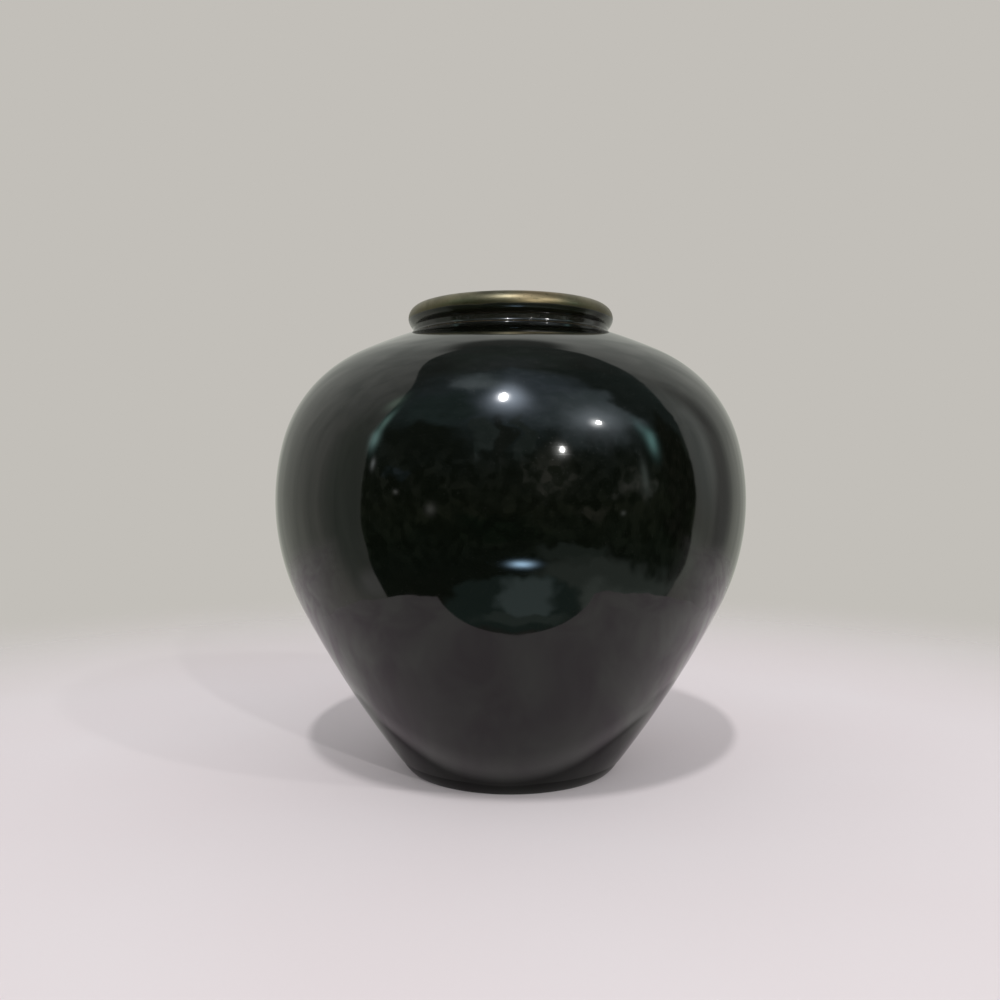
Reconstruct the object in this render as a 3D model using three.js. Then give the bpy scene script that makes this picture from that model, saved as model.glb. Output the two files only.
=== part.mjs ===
// A round-bellied vase of spun brass under black lacquer, with a thick rolled lip of bare brass.
// Millimetres, +Z up. The origin is the centre of the rest circle under the foot, and +Z is the axis.
//
// Five pieces are spun or turned separately and brazed together, each a body of revolution:
//   lower_body_shell  the bowl, whose top edge is joggled inward to slip inside the upper shell
//   upper_body_shell  the shoulder, whose hole is flanged upward into a short collar
//   mouth_ring        the mouth tube, rolled outward and down into the thick hollow lip
//   foot_ring         the turned foot, with a spigot inside the bowl and a ledge for the base plate
//   base_plate        the flanged disc that closes the bottom, recessed above the rest face
import * as THREE from "three";

// Driving dimensions
const SEGMENTS = 64; // facets round the axis
const CHORD_ERROR = 0.15; // furthest that a facet may lie inside its arc
const WALL = 1.5; // sheet thickness of every spun piece
const JOINT_GAP = 0.3; // room for the braze between two seated faces

const BELLY_RADIUS = 121; // widest radius of the body, on the line of the seam
const BELLY_HEIGHT = 139;
const NECK_RADIUS = 51.2; // outside of the short neck under the lip

// The body's outer line is a chain of arcs that meet in line, listed from the neck down to the foot.
// Angles are those of the outward normal from +Z, in degrees: 90 at the seam, more below it.
const BODY_ARCS = [
  { name: "shoulder", radius: 290, from: 0, to: 25 },
  { name: "turn", radius: 69, from: 25, to: 75 },
  { name: "belly", radius: 117, from: 75, to: 117 },
  { name: "flank", radius: 570, from: 117, to: 180 },
];

const SEAM_ANGLE = 90; // the upper shell's edge lies on the widest line
const LAP_ANGLE = 85; // top edge of the lap, about 10 mm up inside the upper shell
const JOGGLE_START = 91.5; // the joggle offsets the sheet inward between these two angles
const JOGGLE_END = 94;

const LIP_HEIGHT = 233.6; // height of the rolled lip's widest line
const LIP_RADIUS = 53.6; // its outside radius there
const LIP_ROLL = 6.4; // outside radius of the roll's round section
const NECK_FILLET = 1; // hollow corner between the roll and the neck
const SKIRT_BOTTOM = 216; // lower edge of the mouth tube, inside the vase

const COLLAR_TOP = 232; // upper edge of the shoulder's collar, inside the roll
const COLLAR_BEND = 1.5; // hollow bend from the shoulder to the collar

const FOOT_RADIUS = 53.7; // outside of the rest face
const FOOT_TOP_RADIUS = 58.4; // a shade inside the bowl's edge, which leaves the fine line at the foot
const FOOT_HEIGHT = 6.5; // seat of the bowl on the foot ring
const FOOT_ROUND = 15; // radius of the foot's rounded side
const FOOT_BORE_RADIUS = 47.5;
const FOOT_CHAMFER = 0.5;
const SPIGOT_TOP = 13;
const SPIGOT_WALL = 2;
const LEDGE_HEIGHT = 5; // underside recess, and the seat of the base plate

const PLATE_FLANGE_TOP = 11;
const PLATE_BEND = 2.5; // outside bend between the plate and its flange

const LACQUER = new THREE.MeshStandardMaterial({ color: 0x0c0d0a, roughness: 0.06, metalness: 0 });
const BARE_BRASS = new THREE.MeshStandardMaterial({ color: 0x9a8968, roughness: 0.3, metalness: 1 });
const DULL_BRASS = new THREE.MeshStandardMaterial({ color: 0x6b5a3a, roughness: 0.6, metalness: 1 });

const radians = THREE.MathUtils.degToRad;

// The unit normal at an angle from +Z, in the (radius, height) plane of the profiles.
function normalAt(angle) {
  return new THREE.Vector2(Math.sin(radians(angle)), Math.cos(radians(angle)));
}

// Gives each arc its centre: the belly's from the widest line, and its neighbours' from the shared normals.
function centreBodyArcs() {
  const bellyIndex = BODY_ARCS.findIndex((arc) => arc.name === "belly");
  const belly = BODY_ARCS[bellyIndex];
  belly.centre = new THREE.Vector2(BELLY_RADIUS - belly.radius, BELLY_HEIGHT);
  for (let i = bellyIndex - 1; i >= 0; i--) {
    centreBeside(BODY_ARCS[i], BODY_ARCS[i + 1], BODY_ARCS[i].to);
  }
  for (let i = bellyIndex + 1; i < BODY_ARCS.length; i++) {
    centreBeside(BODY_ARCS[i], BODY_ARCS[i - 1], BODY_ARCS[i].from);
  }
}

function centreBeside(arc, neighbour, sharedAngle) {
  const shift = normalAt(sharedAngle).multiplyScalar(neighbour.radius - arc.radius);
  arc.centre = neighbour.centre.clone().add(shift);
}

centreBodyArcs();
const SHOULDER = BODY_ARCS[0];
const FLANK = BODY_ARCS[BODY_ARCS.length - 1];

function arcSteps(radius, degrees) {
  const stepAngle = 2 * Math.acos(1 - CHORD_ERROR / radius);
  return Math.max(1, Math.ceil(radians(Math.abs(degrees)) / stepAngle));
}

// Points of the body's line between two normal angles, set inward by inset. The steps depend on
// the angles alone, so that two faces of one sheet, or of a lap, have their facets side by side.
function bodyLine(fromAngle, toAngle, inset) {
  const low = Math.min(fromAngle, toAngle);
  const high = Math.max(fromAngle, toAngle);
  const points = [];
  for (const arc of BODY_ARCS) {
    const start = Math.max(low, arc.from);
    const end = Math.min(high, arc.to);
    if (end <= start) continue;
    const steps = arcSteps(arc.radius, end - start);
    const first = points.length ? 1 : 0;
    for (let i = first; i <= steps; i++) {
      const normal = normalAt(start + ((end - start) * i) / steps);
      points.push(normal.multiplyScalar(arc.radius - inset).add(arc.centre));
    }
  }
  return fromAngle > toAngle ? points.reverse() : points;
}

// The normal's angle where the flank, set inward by inset, passes a height.
function flankAngleAt(height, inset) {
  return THREE.MathUtils.radToDeg(Math.acos((height - FLANK.centre.y) / (FLANK.radius - inset)));
}

function flankPointAt(height, inset) {
  const normal = normalAt(flankAngleAt(height, inset));
  return normal.multiplyScalar(FLANK.radius - inset).add(FLANK.centre);
}

// The point of the shoulder's line, raised by a gap, at a radius from the axis.
function shoulderPointAt(radius, gap) {
  const across = radius - SHOULDER.centre.x;
  const rise = Math.sqrt((SHOULDER.radius + gap) ** 2 - across ** 2);
  return new THREE.Vector2(radius, SHOULDER.centre.y + rise);
}

// Points of a round bend between two directions, in degrees from the outward radius towards +Z.
function roundBend(centre, radius, from, to, steps) {
  return Array.from({ length: steps + 1 }, (_, i) => {
    const angle = radians(from + ((to - from) * i) / steps);
    return new THREE.Vector2(Math.cos(angle), Math.sin(angle)).multiplyScalar(radius).add(centre);
  });
}

function directionTo(from, to) {
  return THREE.MathUtils.radToDeg(to.clone().sub(from).angle());
}

// Points on an arc of a given radius between two points, bulging away from the axis.
function bulgeBetween(start, end, radius, steps) {
  const chord = end.clone().sub(start);
  const rise = Math.sqrt(radius ** 2 - chord.lengthSq() / 4);
  const inward = new THREE.Vector2(-chord.y, chord.x).normalize().multiplyScalar(rise);
  const centre = start.clone().add(end).multiplyScalar(0.5).add(inward);
  const startAngle = directionTo(centre, start) - 360;
  return roundBend(centre, radius, startAngle, directionTo(centre, end) - 360, steps);
}

// A closed profile turned round the axis. Profiles run with the metal on their left.
function revolve(name, profile, material) {
  const onAxis = profile[0].x === 0;
  const outline = onAxis ? profile : [...profile, profile[0].clone()];
  const mesh = new THREE.Mesh(new THREE.LatheGeometry(outline, SEGMENTS), material);
  mesh.name = name;
  return mesh;
}

function lowerBodyShell() {
  const edgeHeight = FOOT_HEIGHT + JOINT_GAP;
  const seamGapAngle = THREE.MathUtils.radToDeg(JOINT_GAP / BELLY_RADIUS);
  const outsideTop = SEAM_ANGLE + seamGapAngle;
  const lapInset = WALL + JOINT_GAP;
  return revolve(
    "lower_body_shell",
    [
      ...bodyLine(flankAngleAt(edgeHeight, 0), outsideTop, 0),
      ...bodyLine(outsideTop, LAP_ANGLE, lapInset),
      ...bodyLine(LAP_ANGLE, JOGGLE_START, lapInset + WALL),
      ...bodyLine(JOGGLE_END, flankAngleAt(edgeHeight, WALL), WALL),
    ],
    LACQUER,
  );
}

function upperBodyShell() {
  const collarInside = LIP_RADIUS - 2 * LIP_ROLL + WALL + JOINT_GAP;
  const collarOutside = collarInside + WALL;
  const bendCentre = shoulderPointAt(collarOutside + COLLAR_BEND, COLLAR_BEND);
  const bendFoot = directionTo(bendCentre, SHOULDER.centre);
  const shoulderStart = 270 - bendFoot;
  const bendSteps = 3;
  return revolve(
    "upper_body_shell",
    [
      ...bodyLine(SEAM_ANGLE, shoulderStart, 0),
      ...roundBend(bendCentre, COLLAR_BEND, bendFoot, 180, bendSteps).slice(1),
      new THREE.Vector2(collarOutside, COLLAR_TOP),
      new THREE.Vector2(collarInside, COLLAR_TOP),
      ...roundBend(bendCentre, COLLAR_BEND + WALL, 180, bendFoot, bendSteps),
      ...bodyLine(shoulderStart, SEAM_ANGLE, WALL).slice(1),
    ],
    LACQUER,
  );
}

function mouthRing() {
  const rollCentre = new THREE.Vector2(LIP_RADIUS - LIP_ROLL, LIP_HEIGHT);
  const filletAcross = NECK_RADIUS + NECK_FILLET - rollCentre.x;
  const filletDrop = Math.sqrt((LIP_ROLL + NECK_FILLET) ** 2 - filletAcross ** 2);
  const filletCentre = rollCentre.clone().add(new THREE.Vector2(filletAcross, -filletDrop));
  const rollStart = directionTo(rollCentre, filletCentre) - 360;
  const filletEnd = directionTo(filletCentre, rollCentre);
  const mouthRadius = rollCentre.x - LIP_ROLL;
  const underSteps = 2;
  const halfTurnSteps = 8;
  const filletSteps = 2;
  return revolve(
    "mouth_ring",
    [
      shoulderPointAt(NECK_RADIUS, JOINT_GAP),
      ...roundBend(filletCentre, NECK_FILLET, 180, filletEnd, filletSteps),
      ...roundBend(rollCentre, LIP_ROLL, rollStart, 0, underSteps).slice(1),
      ...roundBend(rollCentre, LIP_ROLL, 0, 180, halfTurnSteps).slice(1),
      new THREE.Vector2(mouthRadius, SKIRT_BOTTOM),
      new THREE.Vector2(mouthRadius + WALL, SKIRT_BOTTOM),
      ...roundBend(rollCentre, LIP_ROLL - WALL, 180, 0, halfTurnSteps),
      ...roundBend(rollCentre, LIP_ROLL - WALL, 0, rollStart, underSteps).slice(1),
      ...roundBend(filletCentre, NECK_FILLET + WALL, filletEnd, 180, filletSteps).slice(1),
      shoulderPointAt(NECK_RADIUS - WALL, JOINT_GAP),
    ],
    BARE_BRASS,
  );
}

function footRing() {
  const spigotOutside = WALL + JOINT_GAP;
  const spigotInside = spigotOutside + SPIGOT_WALL;
  const restEdge = new THREE.Vector2(FOOT_RADIUS, 0);
  const shoulderEdge = new THREE.Vector2(FOOT_TOP_RADIUS, FOOT_HEIGHT);
  return revolve(
    "foot_ring",
    [
      ...bulgeBetween(restEdge, shoulderEdge, FOOT_ROUND, 4),
      flankPointAt(FOOT_HEIGHT, spigotOutside),
      flankPointAt(SPIGOT_TOP, spigotOutside),
      flankPointAt(SPIGOT_TOP, spigotInside),
      flankPointAt(LEDGE_HEIGHT, spigotInside),
      new THREE.Vector2(FOOT_BORE_RADIUS, LEDGE_HEIGHT),
      new THREE.Vector2(FOOT_BORE_RADIUS, FOOT_CHAMFER),
      new THREE.Vector2(FOOT_BORE_RADIUS + FOOT_CHAMFER, 0),
    ],
    LACQUER,
  );
}

function basePlate() {
  const underside = LEDGE_HEIGHT + JOINT_GAP;
  const flangeOutside = WALL + JOINT_GAP + SPIGOT_WALL + JOINT_GAP;
  const flangeInside = flangeOutside + WALL;
  const bendCentre = flankPointAt(underside + PLATE_BEND, flangeOutside + PLATE_BEND);
  const bendEnd = directionTo(FLANK.centre, bendCentre) - 360;
  const bendSteps = 3;
  return revolve(
    "base_plate",
    [
      new THREE.Vector2(0, underside),
      ...roundBend(bendCentre, PLATE_BEND, -90, bendEnd, bendSteps),
      flankPointAt(PLATE_FLANGE_TOP, flangeOutside),
      flankPointAt(PLATE_FLANGE_TOP, flangeInside),
      ...roundBend(bendCentre, PLATE_BEND - WALL, bendEnd, -90, bendSteps),
      new THREE.Vector2(0, underside + WALL),
    ],
    DULL_BRASS,
  );
}

// Lathe profiles turn round Y, so the turned pieces share a group that stands that axis on +Z.
const turnedPieces = new THREE.Group();
turnedPieces.rotation.x = Math.PI / 2;
turnedPieces.add(lowerBodyShell(), upperBodyShell(), mouthRing(), footRing(), basePlate());

const vase = new THREE.Group();
vase.add(turnedPieces);

export default vase;
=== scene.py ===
"""The looks of a round-bellied vase of spun brass under black lacquer, with a rolled lip of bare brass.

Sizes of the vase are in millimetres, in the frame of the CAD model: +Z up, the origin at the centre of
the rest circle under the foot. The meshes and the studio are in metres. Azimuths in the studio are in
degrees from -Y, where the camera stands, towards +X, and elevations are above the horizon.
"""

import math

import bpy
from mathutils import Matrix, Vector

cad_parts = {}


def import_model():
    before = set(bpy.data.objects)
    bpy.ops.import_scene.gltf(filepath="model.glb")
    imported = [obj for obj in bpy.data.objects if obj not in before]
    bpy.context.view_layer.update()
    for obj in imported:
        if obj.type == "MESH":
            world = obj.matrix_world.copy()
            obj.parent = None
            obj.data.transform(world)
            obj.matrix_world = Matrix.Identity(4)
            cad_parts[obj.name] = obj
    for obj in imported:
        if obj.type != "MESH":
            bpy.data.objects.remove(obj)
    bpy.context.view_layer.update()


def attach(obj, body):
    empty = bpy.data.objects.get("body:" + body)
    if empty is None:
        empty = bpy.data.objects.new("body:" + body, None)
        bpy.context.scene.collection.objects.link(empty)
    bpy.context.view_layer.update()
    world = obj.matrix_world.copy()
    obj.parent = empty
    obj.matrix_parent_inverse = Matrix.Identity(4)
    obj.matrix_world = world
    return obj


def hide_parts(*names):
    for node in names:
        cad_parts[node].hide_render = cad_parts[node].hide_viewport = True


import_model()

MM = 0.001
SEGMENTS = 256  # faces round the axis of every turned piece
STEP_LENGTH = 1.2  # longest stretch of a profile between two rings, on the arcs
STEP_ANGLE = 9  # most degrees between two rings of an arc

# Driving dimensions of the vase, the same as the CAD model's
WALL = 1.5
JOINT_GAP = 0.3
BELLY_RADIUS = 121
BELLY_HEIGHT = 139
NECK_RADIUS = 51.2
LIP_HEIGHT = 233.6
LIP_RADIUS = 53.6
LIP_ROLL = 6.4
NECK_FILLET = 1
BRAZE_FILLET = 1.9  # where the neck meets the shoulder
SKIRT_BOTTOM = 216
COLLAR_TOP = 232
COLLAR_BEND = 1.5
FOOT_RADIUS = 53.7
FOOT_TOP_RADIUS = 58.4
FOOT_HEIGHT = 6.5
FOOT_ROUND = 15
FOOT_BORE_RADIUS = 47.5
FOOT_CHAMFER = 0.5
SPIGOT_TOP = 13
SPIGOT_WALL = 2
LEDGE_HEIGHT = 5
PLATE_FLANGE_TOP = 11
PLATE_BEND = 2.5

# The body's outer line from the neck to the foot: (radius, first and last normal in degrees from +Z)
SHOULDER, TURN, BELLY, FLANK = range(4)
BODY_ARCS = [(290, 0, 25), (69, 25, 75), (117, 75, 117), (570, 117, 180)]
SEAM_NORMAL = 90
LAP_NORMAL = 85
JOGGLE_START = 91.5
JOGGLE_END = 94

OUTSIDE, INSIDE = 0, 1  # material index of a strip
LINE_STEP = 4 * STEP_LENGTH  # longest stretch between two rings on the straight lines
TOUCHING = 1e-4  # points of a profile that are closer than this are one
ON_AXIS = 1e-6  # a ring with less radius than this is a single point


def unit(angle):
    """The direction in a profile's (radius, height) plane, in degrees from outward towards +Z."""
    return Vector((math.cos(math.radians(angle)), math.sin(math.radians(angle))))


def direction_to(start, end):
    return math.degrees(math.atan2(end.y - start.y, end.x - start.x))


def body_centres():
    """Each arc's centre: the belly's from its widest line, the others' from shared normals."""
    centres = {BELLY: Vector((BELLY_RADIUS - BODY_ARCS[BELLY][0], BELLY_HEIGHT))}
    for arc, neighbour, shared in ((TURN, BELLY, 2), (SHOULDER, TURN, 2), (FLANK, BELLY, 1)):
        shift = BODY_ARCS[neighbour][0] - BODY_ARCS[arc][0]
        centres[arc] = centres[neighbour] + shift * unit(90 - BODY_ARCS[arc][shared])
    return centres


CENTRES = body_centres()


class Profile:
    """A closed outline that runs with the metal on its left.

    A strip is a list of (point, normal) and the material index of its faces.
    """

    def __init__(self):
        self.strips = []
        self.index = OUTSIDE

    def arc(self, centre, radius, start, end):
        turn = abs(end - start)
        steps = max(turn / STEP_ANGLE, radius * math.radians(turn) / STEP_LENGTH)
        steps = max(2, math.ceil(steps))
        side = 1 if end > start else -1
        rows = []
        for i in range(steps + 1):
            out = unit(start + (end - start) * i / steps)
            rows.append((centre + radius * out, side * out))
        self.strips.append((rows, self.index))
        return self

    def line(self, end):
        start = self.strips[-1][0][-1][0]
        along = (end - start).normalized()
        normal = Vector((along.y, -along.x))
        steps = max(1, math.ceil((end - start).length / LINE_STEP))
        rows = [(start.lerp(end, i / steps), normal) for i in range(steps + 1)]
        self.strips.append((rows, self.index))
        return self

    def start(self, point):
        self.strips.append(([(point, Vector((0, 1)))], self.index))
        return self

    def body(self, first, last, inset):
        """The body's line between two normals, set inward by inset, in either direction."""
        low, high = min(first, last), max(first, last)
        parts = []
        for arc, (radius, begin, finish) in enumerate(BODY_ARCS):
            a, b = max(low, begin), min(high, finish)
            if b > a:
                parts.append((arc, radius, a, b))
        if first > last:
            parts.reverse()
        for arc, radius, a, b in parts:
            if first > last:
                a, b = b, a
            self.join(CENTRES[arc] + (radius - inset) * unit(90 - a))
            self.arc(CENTRES[arc], radius - inset, 90 - a, 90 - b)
        return self

    def join(self, point):
        """A straight stretch to a point, unless the profile is there already."""
        if self.strips and (self.strips[-1][0][-1][0] - point).length > TOUCHING:
            self.line(point)

    def bend(self, centre, radius, start, end):
        self.join(centre + radius * unit(start))
        return self.arc(centre, radius, start, end)

    def side(self, index):
        self.index = index
        return self


def flank_normal(height, inset):
    reach = BODY_ARCS[FLANK][0] - inset
    return math.degrees(math.acos((height - CENTRES[FLANK].y) / reach))


def flank_point(height, inset):
    return CENTRES[FLANK] + (BODY_ARCS[FLANK][0] - inset) * unit(90 - flank_normal(height, inset))


def shoulder_point(radius, gap):
    across = radius - CENTRES[SHOULDER].x
    rise = math.sqrt((BODY_ARCS[SHOULDER][0] + gap) ** 2 - across**2)
    return Vector((radius, CENTRES[SHOULDER].y + rise))


def turned(name, profile, materials, node):
    """Turns a profile round the axis, with the exact normals of its arcs and lines."""
    closed = profile.strips[0][0][0][0].x > 0
    rings = []
    spans = []
    for rows, index in profile.strips:
        if not rings:
            rings.append(rows[0][0])
        for (_, n0), (p1, n1) in zip(rows, rows[1:]):
            rings.append(p1)
            spans.append((len(rings) - 2, len(rings) - 1, n0, n1, index))
    if closed and (rings[-1] - rings[0]).length < TOUCHING:
        rings.pop()
        last = spans[-1]
        spans[-1] = (last[0], 0, *last[2:])
    spins = [2 * math.pi * s / SEGMENTS for s in range(SEGMENTS)]
    verts, first = [], []
    for ring in rings:
        first.append(len(verts))
        if ring.x < ON_AXIS:
            verts.append((0, 0, ring.y * MM))
            continue
        for spin in spins:
            x, y = ring.x * MM * math.cos(spin), ring.x * MM * math.sin(spin)
            verts.append((x, y, ring.y * MM))
    faces, indices, normals = [], [], []
    for low, high, n0, n1, index in spans:
        for s in range(SEGMENTS):
            t = (s + 1) % SEGMENTS
            corners = [(low, s, n0), (low, t, n0), (high, t, n1), (high, s, n1)]
            if rings[low].x < ON_AXIS:
                corners.pop(1)
            if rings[high].x < ON_AXIS:
                corners.pop(2)
            faces.append([first[r] + (k if rings[r].x >= ON_AXIS else 0) for r, k, _ in corners])
            for _, k, n in corners:
                normals.append((n.x * math.cos(spins[k]), n.x * math.sin(spins[k]), n.y))
            indices.append(index)
    mesh = bpy.data.meshes.new(name)
    mesh.from_pydata(verts, [], faces)
    mesh.polygons.foreach_set("material_index", indices)
    mesh.shade_smooth()
    mesh.normals_split_custom_set(normals)
    for material in materials:
        mesh.materials.append(material)
    piece = bpy.data.objects.new(name, mesh)
    bpy.context.scene.collection.objects.link(piece)
    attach(piece, "root")
    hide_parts(node)
    return piece


def lower_body(materials):
    lap = WALL + JOINT_GAP
    profile = Profile().body(flank_normal(FOOT_HEIGHT, 0), SEAM_NORMAL, 0)
    profile.side(INSIDE).body(SEAM_NORMAL, LAP_NORMAL, lap)
    profile.body(LAP_NORMAL, JOGGLE_START, lap + WALL)
    profile.body(JOGGLE_END, flank_normal(FOOT_HEIGHT, WALL), WALL)
    profile.join(profile.strips[0][0][0][0])
    return turned("lacquered_bowl", profile, materials, "lower_body_shell")


def upper_body(materials):
    collar_inside = LIP_RADIUS - 2 * LIP_ROLL + WALL + JOINT_GAP
    collar_outside = collar_inside + WALL
    bend_centre = shoulder_point(collar_outside + COLLAR_BEND, COLLAR_BEND)
    bend_foot = direction_to(bend_centre, CENTRES[SHOULDER])
    bend_normal = abs(-90 - bend_foot)
    profile = Profile().body(SEAM_NORMAL, bend_normal, 0)
    profile.side(INSIDE).bend(bend_centre, COLLAR_BEND, bend_foot, -180)
    profile.line(Vector((collar_outside, COLLAR_TOP)))
    profile.line(Vector((collar_inside, COLLAR_TOP)))
    profile.bend(bend_centre, COLLAR_BEND + WALL, -180, bend_foot)
    profile.body(bend_normal, SEAM_NORMAL, WALL)
    profile.join(profile.strips[0][0][0][0])
    return turned("lacquered_shoulder", profile, materials, "upper_body_shell")


def mouth(materials):
    roll = Vector((LIP_RADIUS - LIP_ROLL, LIP_HEIGHT))
    across = NECK_RADIUS + NECK_FILLET - roll.x
    drop = math.sqrt((LIP_ROLL + NECK_FILLET) ** 2 - across**2)
    fillet = roll + Vector((across, -drop))
    roll_start = direction_to(roll, fillet)
    fillet_end = direction_to(fillet, roll)
    tube = roll.x - LIP_ROLL
    braze = shoulder_point(NECK_RADIUS + BRAZE_FILLET, BRAZE_FILLET)
    braze_start = 360 + direction_to(braze, CENTRES[SHOULDER])
    profile = Profile().start(braze + BRAZE_FILLET * unit(braze_start))
    profile.arc(braze, BRAZE_FILLET, braze_start, 180)
    profile.bend(fillet, NECK_FILLET, 180, fillet_end)
    profile.bend(roll, LIP_ROLL, roll_start, 180)
    profile.line(Vector((tube, SKIRT_BOTTOM)))
    profile.side(INSIDE).line(Vector((tube + WALL, SKIRT_BOTTOM)))
    profile.bend(roll, LIP_ROLL - WALL, 180, roll_start)
    profile.bend(fillet, NECK_FILLET + WALL, fillet_end, 180)
    profile.line(shoulder_point(NECK_RADIUS - WALL, JOINT_GAP))
    profile.join(profile.strips[0][0][0][0])
    return turned("rolled_mouth", profile, materials, "mouth_ring")


def foot(materials):
    outside = WALL + JOINT_GAP
    inside = outside + SPIGOT_WALL
    start, end = Vector((FOOT_RADIUS, 0)), Vector((FOOT_TOP_RADIUS, FOOT_HEIGHT))
    chord = end - start
    rise = math.sqrt(FOOT_ROUND**2 - chord.length_squared / 4)
    centre = (start + end) / 2 + Vector((-chord.y, chord.x)).normalized() * rise
    profile = Profile().start(start)
    profile.arc(centre, FOOT_ROUND, direction_to(centre, start), direction_to(centre, end))
    profile.line(flank_point(FOOT_HEIGHT, outside))
    profile.side(INSIDE).line(flank_point(SPIGOT_TOP, outside))
    profile.line(flank_point(SPIGOT_TOP, inside))
    profile.line(flank_point(LEDGE_HEIGHT, inside))
    profile.line(Vector((FOOT_BORE_RADIUS, LEDGE_HEIGHT)))
    profile.line(Vector((FOOT_BORE_RADIUS, FOOT_CHAMFER)))
    profile.line(Vector((FOOT_BORE_RADIUS + FOOT_CHAMFER, 0)))
    profile.line(start)
    return turned("turned_foot", profile, materials, "foot_ring")


def plate(materials):
    underside = LEDGE_HEIGHT + JOINT_GAP
    outside = WALL + JOINT_GAP + SPIGOT_WALL + JOINT_GAP
    inside = outside + WALL
    bend_centre = flank_point(underside + PLATE_BEND, outside + PLATE_BEND)
    bend_end = direction_to(CENTRES[FLANK], bend_centre)
    profile = Profile().start(Vector((0, underside)))
    profile.bend(bend_centre, PLATE_BEND, -90, bend_end)
    profile.line(flank_point(PLATE_FLANGE_TOP, outside))
    profile.line(flank_point(PLATE_FLANGE_TOP, inside))
    profile.bend(bend_centre, PLATE_BEND - WALL, bend_end, -90)
    profile.line(Vector((0, underside + WALL)))
    return turned("closing_plate", profile, materials, "base_plate")


COLOUR_A, COLOUR_B, COLOUR_RESULT = 6, 7, 2  # sockets of a Mix node that mixes colours


class Graph:
    """A node tree with short calls that add nodes. An input is a number, a colour or an output."""

    def __init__(self, tree):
        self.tree = tree
        tree.nodes.clear()

    def add(self, kind, inputs=None, **settings):
        node = self.tree.nodes.new(kind)
        for name, value in settings.items():
            setattr(node, name, value)
        for key, value in (inputs or {}).items():
            self.feed(node.inputs[key], value)
        return node

    def feed(self, socket, value):
        if isinstance(value, bpy.types.NodeSocket):
            self.tree.links.new(value, socket)
        else:
            socket.default_value = value

    def math(self, operation, a, b=0.0):
        return self.add("ShaderNodeMath", {0: a, 1: b}, operation=operation).outputs[0]

    def mix(self, factor, a, b, blend="MIX"):
        node = self.add("ShaderNodeMix", data_type="RGBA", blend_type=blend)
        self.feed(node.inputs["Factor"], factor)
        self.feed(node.inputs[COLOUR_A], a)
        self.feed(node.inputs[COLOUR_B], b)
        return node.outputs[COLOUR_RESULT]

    def noise(self, vector, scale, detail=2.0, roughness=0.5, distortion=0.0):
        inputs = {"Vector": vector, "Scale": scale, "Detail": detail, "Roughness": roughness}
        inputs["Distortion"] = distortion
        return self.add("ShaderNodeTexNoise", inputs).outputs["Fac"]

    def span(self, value, low, high, to_low=0.0, to_high=1.0, smooth=False):
        """Maps a range of values onto another, held at its ends."""
        inputs = {"Value": value, "From Min": low, "From Max": high}
        inputs |= {"To Min": to_low, "To Max": to_high}
        kind = "SMOOTHSTEP" if smooth else "LINEAR"
        return self.add("ShaderNodeMapRange", inputs, interpolation_type=kind).outputs["Result"]

    def ramp(self, value, stops):
        """A colour ramp through (position, colour) stops."""
        node = self.add("ShaderNodeValToRGB", {"Fac": value})
        marks = node.color_ramp.elements
        while len(marks) < len(stops):
            marks.new(0.5)
        for mark, (position, colour) in zip(marks, stops):
            mark.position = position
            mark.color = (*colour, 1)
        return node.outputs["Color"]


def rgb(red, green, blue):
    return (red, green, blue, 1)


# Heights on the vase, in metres, between which a finish changes into another, or the painted shade
# fades
DUSTY_SHOULDER = (0.2228, 0.2250)
DUSTY_LIP = (0.2285, 0.2300)
WORN_LIP = (0.2300, 0.2328)
BRASS_LINE = (0.2328, 0.2334)
# Painted shade over the crown: darkest just above the lacquer, fading out towards the top
SHADED_CROWN = (0.2335, 0.2385)
LINE_WANDER = 0.0007  # how far the brass strays above and below its line

FRONT_SHEEN_AT = (0.014, -0.051, 0.237)  # painted sheen: a warmer brown on the front of the crown, between the lamps' highlights
FRONT_SHEEN_REACH = (0.004, 0.019)
FRONT_SHEEN_COVER = 0.6
# How dark the painted shade is at the crown's lower edge
CROWN_SHADE_COVER = 0.75

LACQUER_IOR = 1.5
LACQUER_COLOURS = (rgb(0.0006, 0.0008, 0.0005), rgb(0.0018, 0.0018, 0.0014))
LACQUER_ROUGHNESS = (0.035, 0.07)
HAIRLINE_ROUGHNESS = 0.015  # added to the lacquer's
HAIRLINES = ((0.05, 2100), (-0.12, 1700))  # tilt in radians, and how fine
SPECK = rgb(0.02, 0.02, 0.018)
SPECK_ROUGHNESS = 0.5
PEEL_HEIGHT, SWELL_HEIGHT = 0.03, 0.9  # shares of the bump's height
DUST = rgb(0.02, 0.018, 0.018)

DULL_COLOURS = (rgb(0.12, 0.085, 0.045), rgb(0.36, 0.27, 0.14))
DULL_RING = rgb(0.22, 0.16, 0.085)
DULL_ROUGHNESS = (0.72, 0.5)
LATHE_MARKS = 1300  # about how many to a metre

TARNISH = (rgb(0.115, 0.10, 0.068), rgb(0.28, 0.245, 0.165))
# The warmer brown of the painted sheen on the crown's front
FRONT_SHEEN = rgb(0.33, 0.225, 0.12)
SPOT = rgb(0.12, 0.10, 0.06)
# The colour of the painted shade low on the crown
CROWN_SHADE = rgb(0.085, 0.075, 0.04)
LIP_LACQUER = rgb(0.004, 0.004, 0.002)
BRASS_ROUGHNESS = (0.44, 0.35)
LIP_LACQUER_ROUGHNESS = (0.06, 0.3)  # rising to where the brass begins


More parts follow.
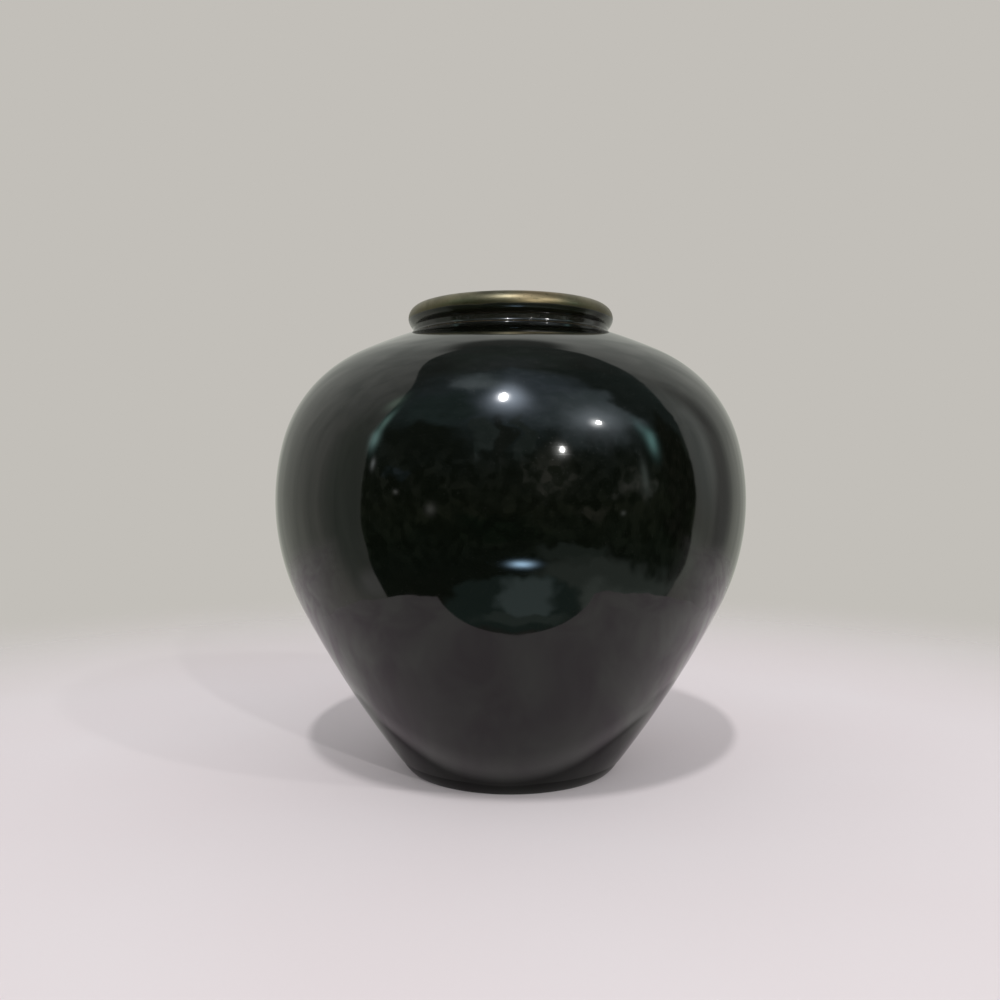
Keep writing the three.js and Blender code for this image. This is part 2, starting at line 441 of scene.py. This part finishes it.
def hairlines(g, place):
    """Fine scratches that run round the vase and a little askew, where a cloth has wiped it."""
    lines = []
    for tilt, fine in HAIRLINES:
        askew = {"Vector": place, "Rotation": (tilt, tilt, 0), "Scale": (45, 45, fine)}
        askew = g.add("ShaderNodeMapping", askew).outputs[0]
        lines.append(g.span(g.noise(askew, 1.0, 1, 0.4), 0.66, 0.72))
    return g.math("MAXIMUM", *lines)


def settled_dust(g, place):
    """A thin, uneven film of dust, where a cloth doesn't reach."""
    return g.span(g.noise(place, 1100, 3, 0.6), 0.4, 0.75)


def lacquer():
    """Black lacquer, polished until it mirrors, with a faint swell, hairline scratches and dust."""
    material = bpy.data.materials.new("black_lacquer")
    material.use_nodes = True
    g = Graph(material.node_tree)
    place = g.add("ShaderNodeTexCoord").outputs["Object"]
    cloud = g.noise(place, 22, 4, 0.6)
    colour = g.mix(cloud, *LACQUER_COLOURS)
    specks = g.span(g.noise(place, 2600, 1, 0.5), 0.74, 0.79)
    colour = g.mix(specks, colour, SPECK)
    height = g.add("ShaderNodeSeparateXYZ", {"Vector": place}).outputs["Z"]
    settled = g.math("MULTIPLY", g.span(height, *DUSTY_SHOULDER), settled_dust(g, place))
    colour = g.mix(settled, colour, DUST)
    haze = g.noise(place, 60, 5, 0.65)
    rough = g.span(haze, 0.3, 0.75, *LACQUER_ROUGHNESS)
    scratched = g.math("MULTIPLY", hairlines(g, place), HAIRLINE_ROUGHNESS)
    rough = g.math("ADD", rough, scratched)
    rough = g.math("MAXIMUM", rough, g.math("MULTIPLY", specks, SPECK_ROUGHNESS))
    peel = g.math("MULTIPLY", g.noise(place, 420, 2, 0.5), PEEL_HEIGHT)
    swell = g.math("MULTIPLY", g.noise(place, 45, 1, 0.4), SWELL_HEIGHT)
    uneven = g.math("ADD", peel, swell)
    bump = g.add("ShaderNodeBump", {"Height": uneven, "Strength": 0.1, "Distance": 0.001})
    shader = g.add("ShaderNodeBsdfPrincipled", {"Base Color": colour, "Roughness": rough})
    g.feed(shader.inputs["Normal"], bump.outputs["Normal"])
    shader.inputs["IOR"].default_value = LACQUER_IOR
    g.add("ShaderNodeOutputMaterial", {"Surface": shader.outputs[0]})
    return material


def dull_brass():
    """Unpolished brass inside and underneath, brown with age, with the marks of the spinning lathe."""
    material = bpy.data.materials.new("dull_brass")
    material.use_nodes = True
    g = Graph(material.node_tree)
    place = g.add("ShaderNodeTexCoord").outputs["Object"]
    axes = g.add("ShaderNodeSeparateXYZ", {"Vector": place}).outputs
    squares = g.math("ADD", g.math("POWER", axes["X"], 2), g.math("POWER", axes["Y"], 2))
    outward = g.math("MULTIPLY", g.math("SQRT", squares), LATHE_MARKS)
    along = g.math("ADD", outward, g.math("MULTIPLY", axes["Z"], LATHE_MARKS))
    rings = {"W": along, "Scale": 1.0, "Detail": 3.0}
    rings = g.add("ShaderNodeTexNoise", rings, noise_dimensions="1D").outputs["Fac"]
    stain = g.noise(place, 30, 5, 0.6, 0.4)
    colour = g.mix(stain, *DULL_COLOURS)
    colour = g.mix(g.span(rings, 0.3, 0.7), colour, DULL_RING)
    rough = g.span(stain, 0.3, 0.7, *DULL_ROUGHNESS)
    bump = g.add("ShaderNodeBump", {"Height": rings, "Strength": 0.35, "Distance": 0.0004})
    shader = g.add("ShaderNodeBsdfPrincipled", {"Base Color": colour, "Roughness": rough})
    g.feed(shader.inputs["Normal"], bump.outputs["Normal"])
    shader.inputs["Metallic"].default_value = 1.0
    g.add("ShaderNodeOutputMaterial", {"Surface": shader.outputs[0]})
    return material


def crown_brass():
    """The lip: aged bare brass over its crown, and lacquer from its widest line down to the neck."""
    material = bpy.data.materials.new("lip_brass_and_lacquer")
    material.use_nodes = True
    g = Graph(material.node_tree)
    place = g.add("ShaderNodeTexCoord").outputs["Object"]
    axes = g.add("ShaderNodeSeparateXYZ", {"Vector": place}).outputs
    wander = g.noise(place, 26, 3, 0.6)
    edge = g.math("ADD", axes["Z"], g.span(wander, 0.2, 0.8, -LINE_WANDER, LINE_WANDER))
    bare = g.span(edge, *BRASS_LINE, smooth=True)
    tarnish = g.noise(place, 55, 5, 0.65, 0.6)
    colour = g.mix(g.span(tarnish, 0.3, 0.7), *TARNISH)
    # Painted sheen: the crown's front turns a warmer brown round one point, between the lamps'
    # highlights
    from_front_sheen = {0: place, 1: FRONT_SHEEN_AT}
    from_front_sheen = g.add("ShaderNodeVectorMath", from_front_sheen, operation="DISTANCE").outputs["Value"]
    front_sheen = g.span(from_front_sheen, *FRONT_SHEEN_REACH, FRONT_SHEEN_COVER, 0, smooth=True)
    colour = g.mix(front_sheen, colour, FRONT_SHEEN)
    spots = g.span(g.noise(place, 700, 2, 0.6), 0.6, 0.74)
    colour = g.mix(spots, colour, SPOT)
    # Painted shade: the crown darkens towards the lacquer line
    colour = g.mix(g.span(edge, *SHADED_CROWN, CROWN_SHADE_COVER, 0), colour, CROWN_SHADE)
    settled = g.math("MULTIPLY", g.span(axes["Z"], *DUSTY_LIP, 1, 0), settled_dust(g, place))
    coat = g.mix(settled, LIP_LACQUER, DUST)
    colour = g.mix(bare, coat, colour)
    satin = g.span(tarnish, 0.25, 0.75, *BRASS_ROUGHNESS)
    worn = g.span(edge, *WORN_LIP, *LIP_LACQUER_ROUGHNESS)
    rough = g.math("MULTIPLY", satin, bare)
    rough = g.math("ADD", rough, g.math("MULTIPLY", worn, g.math("SUBTRACT", 1.0, bare)))
    scuff = g.noise(place, 900, 2, 0.6)
    bump = g.add("ShaderNodeBump", {"Height": scuff, "Strength": 0.08, "Distance": 0.0004})
    inputs = {"Base Color": colour, "Roughness": rough, "Metallic": bare}
    shader = g.add("ShaderNodeBsdfPrincipled", inputs)
    g.feed(shader.inputs["Normal"], bump.outputs["Normal"])
    shader.inputs["IOR"].default_value = LACQUER_IOR
    g.add("ShaderNodeOutputMaterial", {"Surface": shader.outputs[0]})
    return material


PALE = (0.54, 0.52, 0.485)  # the plain backdrop
FLOOR = (0.75, 0.70, 0.73)
SKY = (1.08, 1.07, 1.055)  # even light, strongest at the horizon
SKY_FADE = 0.8  # the part of it that is gone straight overhead

# The studio as the lacquer mirrors it: a pale side behind and beside the vase, inside the superellipse
# round PALE_AZIMUTH, and a dark side in front, with soft patches and glows of light.
PALE_AZIMUTH = 191
PALE_HALF_WIDTH = 97
PALE_TOP = 62.5
PALE_POWERS = (3.3, 6.5)  # a round corner on the right of the vase, a squarer one on the left
PALE_EDGE = (0.98, 1.03)  # from pale to dark, where 1 is the superellipse
UNEVEN_EDGE = 0.08
STRAY_AZIMUTH, STRAY_ELEVATION = 14, 9  # how far the patches of the dark side stray, in degrees
# Clutter on the dark side is strongest at one elevation and fades above and below it
CLUTTER_MIDDLE = -2
CLUTTER_FADE = (16, 32)
CLUTTER_LEAST = 0.2
CLUTTER_SHADES = [(0.3, (0.5, 0.55, 0.45)), (0.5, (0.92, 0.92, 0.88)), (0.7, (1.8, 1.6, 1.6))]
STREAK_SHADES = [(0.3, (0.84, 0.85, 0.84)), (0.7, (1.14, 1.13, 1.12))]

DARK_BY_ELEVATION = [
    (-90, (0.30, 0.30, 0.28)),
    (-42, (0.05, 0.065, 0.045)),
    (-26, (0.04, 0.065, 0.045)),
    (-14, (0.05, 0.08, 0.05)),
    (-4, (0.065, 0.09, 0.055)),
    (10, (0.065, 0.09, 0.065)),
    (24, (0.075, 0.11, 0.095)),
    (38, (0.12, 0.18, 0.17)),
    (52, (0.12, 0.16, 0.15)),
    (66, (0.12, 0.14, 0.13)),
    (76, (0.16, 0.20, 0.18)),
    (90, (0.26, 0.30, 0.31)),
]
PALE_BY_ELEVATION = [
    (-90, (0.60, 0.56, 0.53)),
    (-40, (0.64, 0.62, 0.56)),
    (-20, (0.52, 0.53, 0.47)),
    (0, (0.48, 0.49, 0.44)),
    (20, (0.54, 0.55, 0.51)),
    (40, (0.62, 0.64, 0.60)),
    (60, (0.70, 0.72, 0.68)),
    (90, (0.60, 0.60, 0.58)),
]
# Soft patches painted over the dark side, in order:
# azimuth, elevation, half width and half height in degrees, softness of the edge, colour
DARK_PATCHES = [
    (-2, 62, 62, 24, 0.7, (0.30, 0.42, 0.47)),  # haze overhead
    (20, 66, 40, 20, 0.8, (0.44, 0.56, 0.66)),
    (-38, 72, 26, 6, 0.8, (0.95, 1.15, 1.22)),  # a long streak of light
    (-42, 48, 22, 13, 0.4, (0.17, 0.27, 0.26)),
    (50, 44, 29, 16, 0.55, (0.60, 0.76, 0.82)),
    (88, 50, 16, 28, 0.25, (0.10, 0.14, 0.13)),
    (-44, 26, 22, 9, 0.3, (0.055, 0.08, 0.06)),
    (-52, 13, 7, 3, 0.3, (0.12, 0.18, 0.20)),
    (-5, 30, 5, 13, 0.2, (0.10, 0.13, 0.11)),
    (-14, 33, 4, 12, 0.2, (0.22, 0.30, 0.28)),
    (6, 33, 4, 12, 0.2, (0.20, 0.27, 0.25)),
    (18, 14, 10, 11, 0.4, (0.20, 0.23, 0.19)),
    (61, 6, 10, 5, 0.35, (0.26, 0.30, 0.26)),
    (36, -4, 12, 3, 0.3, (0.14, 0.16, 0.12)),
    (86, 8, 9, 26, 0.25, (0.04, 0.05, 0.035)),
    (-6, -12, 17, 7, 0.25, (0.025, 0.055, 0.03)),
]
# Patches low on the dark side, free of its clutter
LOW_PATCHES = [
    (28, -23, 18, 4, 0.3, (0.18, 0.24, 0.20)),
    (52, -33, 40, 8, 0.3, (0.31, 0.38, 0.33)),
    (66, -42, 30, 7, 0.45, (0.54, 0.64, 0.57)),
    (2, -49, 42, 15, 0.12, (0.13, 0.205, 0.18)),
    (10, -45, 17, 10, 0.3, (0.50, 0.66, 0.64)),
    (8, -55, 30, 4, 0.3, (0.28, 0.37, 0.33)),
]
# Glows that add to the dark side, brightest in the middle:
# azimuth, elevation, half width and half height in degrees, colour
GLOWS = [
    (-5.9, 60.7, 2.2, 3.6, (12, 12, 13)),
    (-1.8, 60.2, 6.2, 10, (5.2, 6.0, 7.1)),
    (46.4, 36.6, 2.4, 2.4, (12, 12, 12)),
    (47.5, 38.5, 10, 8, (1.9, 2.1, 2.3)),
    (24.0, 23.7, 2.8, 2.8, (3.0, 3.1, 3.0)),
    (5.5, -28.2, 4.7, 1.5, (7, 10.5, 14)),
    (73, 23, 2.6, 5, (1.2, 2.4, 2.3)),
    (70, 30, 2.4, 5, (0.5, 0.9, 0.9)),
    (64, 10, 1.8, 6, (0.55, 0.65, 0.6)),
    (-53, 4.2, 1.2, 0.9, (1.0, 1.0, 0.95)),
    (-36, -3, 2.0, 2.2, (0.7, 0.7, 0.65)),
    (52, -4.5, 1.0, 0.8, (0.8, 0.85, 0.8)),
]
# Light along the pale side's edge, on the left of the vase
RIM_GLOWS = [
    (-70.5, 24, 2.2, 4, (1.4, 2.3, 2.2)),
    (-70, 34, 1.6, 7, (1.0, 1.7, 1.5)),
    (-76, 46, 2.4, 5, (0.5, 0.8, 0.6)),
    (-67.5, 14.5, 1.1, 2, (1.5, 1.6, 1.6)),
]
# Shades of the pale side, with the azimuth counted on past 180
PALE_PATCHES = [
    (279, 2, 13, 34, 0.6, (0.33, 0.37, 0.32)),
    (117, 4, 9, 34, 0.6, (0.28, 0.28, 0.265)),
    (103, 22, 10, 22, 0.6, (0.68, 0.72, 0.68)),
    (286, -31, 10, 5, 0.6, (0.70, 0.70, 0.67)),
    (94, -19, 9, 8, 0.6, (0.66, 0.72, 0.62)),
    (182, 63, 26, 11, 0.3, (0.14, 0.15, 0.14)),
]


def spherical(g, direction):
    """Azimuth from -Y towards +X and elevation, both in degrees, of a direction."""
    x, y, z = g.add("ShaderNodeSeparateXYZ", {"Vector": direction}).outputs
    to_degrees = 180 / math.pi
    azimuth = g.math("ARCTAN2", x, g.math("MULTIPLY", y, -1))
    elevation = g.math("ARCSINE", z)
    return g.math("MULTIPLY", azimuth, to_degrees), g.math("MULTIPLY", elevation, to_degrees)


def squared_reach(g, azimuth, elevation, at, up, wide, high):
    """How far a direction lies from a patch's middle, squared, where 1 is the patch's edge."""
    across = g.math("MULTIPLY", g.math("SUBTRACT", azimuth, at), 1 / wide)
    rise = g.math("MULTIPLY", g.math("SUBTRACT", elevation, up), 1 / high)
    return g.math("ADD", g.math("MULTIPLY", across, across), g.math("MULTIPLY", rise, rise))


def painted(g, colour, azimuth, elevation, patches):
    """A colour with soft-edged patches laid over it in order."""
    for at, up, wide, high, soft, shade in patches:
        reach = g.math("SQRT", squared_reach(g, azimuth, elevation, at, up, wide, high))
        cover = g.span(reach, 1 - soft, 1 + soft, 1, 0, smooth=True)
        colour = g.mix(cover, colour, rgb(*shade))
    return colour


def lit(g, colour, azimuth, elevation, glows):
    """A colour with glows added, each fading from its middle as a bell curve."""
    for at, up, wide, high, shade in glows:
        wide /= math.cos(math.radians(up))
        reach = squared_reach(g, azimuth, elevation, at, up, wide, high)
        bell = g.math("POWER", math.e, g.math("MULTIPLY", reach, -1))
        colour = g.mix(1.0, colour, g.mix(bell, rgb(0, 0, 0), rgb(*shade)), "ADD")
    return colour


def by_elevation(g, elevation, stops):
    return g.ramp(g.span(elevation, -90, 90), [((e + 90) / 180, c) for e, c in stops])


def mirrored_studio(g):
    """What the lacquer mirrors in each direction."""
    direction = g.add("ShaderNodeTexCoord").outputs["Generated"]
    azimuth, elevation = spherical(g, direction)
    stray = g.add("ShaderNodeTexNoise", {"Vector": direction, "Scale": 5.0, "Detail": 2.0})
    stray = g.add("ShaderNodeSeparateColor", {"Color": stray.outputs["Color"]}).outputs
    astray = g.span(stray["Red"], 0, 1, -STRAY_AZIMUTH, STRAY_AZIMUTH)
    loose_azimuth = g.math("ADD", azimuth, astray)
    astray = g.span(stray["Green"], 0, 1, -STRAY_ELEVATION, STRAY_ELEVATION)
    loose_elevation = g.math("ADD", elevation, astray)
    dark = by_elevation(g, loose_elevation, DARK_BY_ELEVATION)
    dark = painted(g, dark, loose_azimuth, loose_elevation, DARK_PATCHES)
    cells = g.add("ShaderNodeTexVoronoi", {"Vector": direction, "Scale": 15.0}).outputs["Color"]
    cells = g.add("ShaderNodeSeparateColor", {"Color": cells}).outputs["Red"]
    clouds = g.math("MULTIPLY", g.noise(direction, 12, 3), 0.6)
    clutter = g.math("ADD", g.math("MULTIPLY", cells, 0.4), clouds)
    from_middle = g.math("ABSOLUTE", g.math("SUBTRACT", elevation, CLUTTER_MIDDLE))
    cluttered = g.span(from_middle, *CLUTTER_FADE, 1, CLUTTER_LEAST, smooth=True)
    dark = g.mix(cluttered, dark, g.ramp(clutter, CLUTTER_SHADES), "MULTIPLY")
    dark = painted(g, dark, loose_azimuth, loose_elevation, LOW_PATCHES)
    dark = lit(g, dark, azimuth, elevation, GLOWS)
    turn = {0: azimuth, 1: PALE_AZIMUTH + 180, 2: PALE_AZIMUTH - 180}
    turned_azimuth = g.add("ShaderNodeMath", turn, operation="WRAP").outputs[0]
    pale = by_elevation(g, elevation, PALE_BY_ELEVATION)
    pale = painted(g, pale, turned_azimuth, elevation, PALE_PATCHES)
    upright = g.add("ShaderNodeMapping", {"Vector": direction, "Scale": (7.0, 7.0, 1.2)}).outputs[0]
    streaks = g.noise(upright, 1.0, 3, 0.5, 0.6)
    pale = g.mix(1.0, pale, g.ramp(streaks, STREAK_SHADES), "MULTIPLY")
    side = g.math("DIVIDE", g.math("SUBTRACT", turned_azimuth, PALE_AZIMUTH), PALE_HALF_WIDTH)
    power = g.span(side, -0.1, 0.1, *PALE_POWERS)
    top = g.math("DIVIDE", g.math("MAXIMUM", elevation, 0), PALE_TOP)
    edge = g.math("POWER", g.math("ABSOLUTE", side), power)
    edge = g.math("ADD", edge, g.math("POWER", top, power))
    edge = g.math("ADD", edge, g.span(stray["Blue"], 0, 1, -UNEVEN_EDGE, UNEVEN_EDGE))
    both = g.mix(g.span(edge, *PALE_EDGE, 1, 0, smooth=True), dark, pale)
    return lit(g, both, azimuth, elevation, RIM_GLOWS)


def world():
    """Pale to the camera, plain and even as light, and the painted studio to whatever mirrors it."""
    made = bpy.data.worlds.new("studio")
    bpy.context.scene.world = made
    made.use_nodes = True
    made.cycles.sampling_method = "NONE"  # what is mirrored is painted apart, so rays have to find it
    g = Graph(made.node_tree)
    path = g.add("ShaderNodeLightPath").outputs
    direction = g.add("ShaderNodeTexCoord").outputs["Generated"]
    height = g.add("ShaderNodeSeparateXYZ", {"Vector": direction}).outputs["Z"]
    overhead = g.math("POWER", g.math("ABSOLUTE", height), 2)
    fade = g.math("SUBTRACT", 1.0, g.math("MULTIPLY", overhead, SKY_FADE))
    even = g.add("ShaderNodeBackground", {"Color": rgb(*SKY), "Strength": fade})
    mirrored = g.add("ShaderNodeBackground", {"Color": mirrored_studio(g)})
    pale = g.add("ShaderNodeBackground", {"Color": rgb(*PALE)})
    unseen = {0: path["Is Glossy Ray"], 1: even.outputs[0], 2: mirrored.outputs[0]}
    unseen = g.add("ShaderNodeMixShader", unseen)
    shown = {0: path["Is Camera Ray"], 1: unseen.outputs[0], 2: pale.outputs[0]}
    shown = g.add("ShaderNodeMixShader", shown)
    g.add("ShaderNodeOutputWorld", {"Surface": shown.outputs[0]})


FLOOR_SIZE = 6.0
FLOOR_FADE = (0.22, 0.75)  # radii between which the floor passes into the backdrop
FLOOR_CLOUDS = ((0.99, 0.98, 0.98), (1.01, 1.02, 1.02))  # shares of the floor's colour, cloud to cloud
# In front of the vase the lacquer mirrors the floor out to one circle, less another: (x, y), radius
MIRRORED_FLOOR = ((0.008, 0.0), 0.232)
MIRRORED_GAP = ((0.01, -0.32), 0.17)
MIRRORED_FRONT = (-0.15, 0.1)  # between these y, from front to back, the floor comes back whole
MIRRORED_UNEVEN = 0.01  # how far the circle's edge strays
# For mirrored rays the floor is painted a little darker and mottled, as painted shade. In front of the
# foot a round painted shadow with a painted light edge lies on it: its middle, its shades by the
# distance from there, and where by y it fades
MIRRORED_SHADES = (rgb(0.78, 0.74, 0.77), rgb(1.0, 1.04, 0.99))
SHADOW_MIDDLE = (0.0035, 0.0425)
SHADOW_SHADES = [(0.098, 0.68), (0.102, 0.52), (0.1055, 1.25), (0.108, 1.42), (0.112, 1.2), (0.117, 1)]
SHADOW_REACH = 0.15
SHADOW_SIDES = (-0.02, 0.02)


def distance_from(g, axes, centre):
    """How far a point of the floor is from a centre."""
    x = g.math("SUBTRACT", axes["X"], centre[0])
    y = g.math("SUBTRACT", axes["Y"], centre[1])
    return g.math("SQRT", g.math("ADD", g.math("MULTIPLY", x, x), g.math("MULTIPLY", y, y)))


def floor():
    """A plain pale floor that fades into the backdrop.

    For mirrored rays it ends where the dark side begins, and carries painted shade and a painted shadow
    in front of the foot.
    """
    mesh = bpy.data.meshes.new("floor")
    half = FLOOR_SIZE / 2
    corners = [(-half, -half, 0), (half, -half, 0), (half, half, 0), (-half, half, 0)]
    mesh.from_pydata(corners, [], [(0, 1, 2, 3)])
    stage = bpy.data.objects.new("floor", mesh)
    bpy.context.scene.collection.objects.link(stage)
    material = bpy.data.materials.new("floor")
    material.use_nodes = True
    mesh.materials.append(material)
    g = Graph(material.node_tree)
    place = g.add("ShaderNodeTexCoord").outputs["Object"]
    axes = g.add("ShaderNodeSeparateXYZ", {"Vector": place}).outputs
    radius = distance_from(g, axes, (0, 0))
    fade = g.span(radius, *FLOOR_FADE, smooth=True)
    path = g.add("ShaderNodeLightPath").outputs
    uneven = g.span(g.noise(place, 11, 2), 0.3, 0.7, -MIRRORED_UNEVEN, MIRRORED_UNEVEN)
    reach = g.math("ADD", distance_from(g, axes, MIRRORED_FLOOR[0]), uneven)
    cut = g.math("GREATER_THAN", reach, MIRRORED_FLOOR[1])
    gap = g.math("LESS_THAN", distance_from(g, axes, MIRRORED_GAP[0]), MIRRORED_GAP[1])
    cut = g.math("MAXIMUM", cut, gap)
    cut = g.math("MULTIPLY", cut, g.span(axes["Y"], *MIRRORED_FRONT, 1, 0, smooth=True))
    cut = g.math("MULTIPLY", cut, path["Is Glossy Ray"])
    clear = g.math("MAXIMUM", fade, cut)
    cloud = g.span(g.noise(place, 5, 2), 0.3, 0.7)
    tints = [rgb(*(a * b for a, b in zip(tint, FLOOR))) for tint in FLOOR_CLOUDS]
    colour = g.mix(cloud, *tints)
    # Painted shade for mirrored rays: darker and mottled, with a painted shadow and light edge in front
    # of the foot
    mirrored_shading = g.mix(g.span(g.noise(place, 16, 3, 0.55, 0.6), 0.35, 0.65), *MIRRORED_SHADES)
    shadow = [(reach / SHADOW_REACH, (shade, shade, shade)) for reach, shade in SHADOW_SHADES]
    across = g.math("MULTIPLY", distance_from(g, axes, SHADOW_MIDDLE), 1 / SHADOW_REACH)
    in_front = g.span(axes["Y"], *SHADOW_SIDES, 1, 0)
    mirrored_shading = g.mix(in_front, mirrored_shading, g.ramp(across, shadow), "MULTIPLY")
    colour = g.mix(path["Is Glossy Ray"], colour, g.mix(1.0, colour, mirrored_shading, "MULTIPLY"))
    shader = g.add("ShaderNodeBsdfPrincipled", {"Base Color": colour, "Roughness": 0.9})
    shader.inputs["Specular IOR Level"].default_value = 0.2
    nothing = g.add("ShaderNodeBsdfTransparent")
    both = {0: clear, 1: shader.outputs[0], 2: nothing.outputs[0]}
    both = g.add("ShaderNodeMixShader", both)
    g.add("ShaderNodeOutputMaterial", {"Surface": both.outputs[0]})


LAMP_DISTANCE = 2.5
LAMP_COLOUR = (1, 0.98, 0.96)
# name, azimuth, elevation, width and height in metres, power
LAMPS = [
    ("high_lamp", -5, 59, 0.1, 0.28, 21),
    ("right_lamp", 46.4, 36, 0.08, 0.1, 6.2),
    ("low_lamp", 24, 23.5, 0.06, 0.07, 11),
]


def area_light(name, azimuth, elevation, wide, high, power):
    """An oval lamp aimed at the middle of the vase, which mirrors it."""
    data = bpy.data.lights.new(name, "AREA")
    data.shape = "ELLIPSE"
    data.size = wide
    data.size_y = high
    data.energy = power
    data.color = LAMP_COLOUR
    lamp = bpy.data.objects.new(name, data)
    a, e = math.radians(azimuth), math.radians(elevation)
    target = Vector((0, 0, BELLY_HEIGHT * MM))
    out = Vector((math.sin(a) * math.cos(e), -math.cos(a) * math.cos(e), math.sin(e)))
    lamp.location = target + LAMP_DISTANCE * out
    lamp.rotation_euler = out.to_track_quat("Z", "Y").to_euler()
    lamp.visible_camera = False
    bpy.context.scene.collection.objects.link(lamp)


CAMERA_DISTANCE = 0.4924
CAMERA_HEIGHT = 0.1502
CAMERA_TILT = 1.307  # degrees below level
SENSOR = 36.0
PHOTO_PIXELS = 1000
FOCAL_PIXELS = 929
AXIS_PIXEL = 510.7  # where the photograph has the vase's axis


def camera():
    data = bpy.data.cameras.new("camera")
    data.sensor_width = SENSOR
    data.lens = SENSOR * FOCAL_PIXELS / PHOTO_PIXELS
    data.shift_x = (PHOTO_PIXELS / 2 - AXIS_PIXEL) / PHOTO_PIXELS
    made = bpy.data.objects.new("camera", data)
    made.location = (0, -CAMERA_DISTANCE, CAMERA_HEIGHT)
    made.rotation_euler = (math.radians(90 - CAMERA_TILT), 0, 0)
    bpy.context.scene.collection.objects.link(made)
    bpy.context.scene.camera = made


bpy.context.scene.view_settings.view_transform = "Standard"
camera()
world()
floor()
for lamp in LAMPS:
    area_light(*lamp)

black, dull, lip = lacquer(), dull_brass(), crown_brass()
lower_body([black, dull])
upper_body([black, dull])
mouth([lip, dull])
foot([black, dull])
plate([dull])
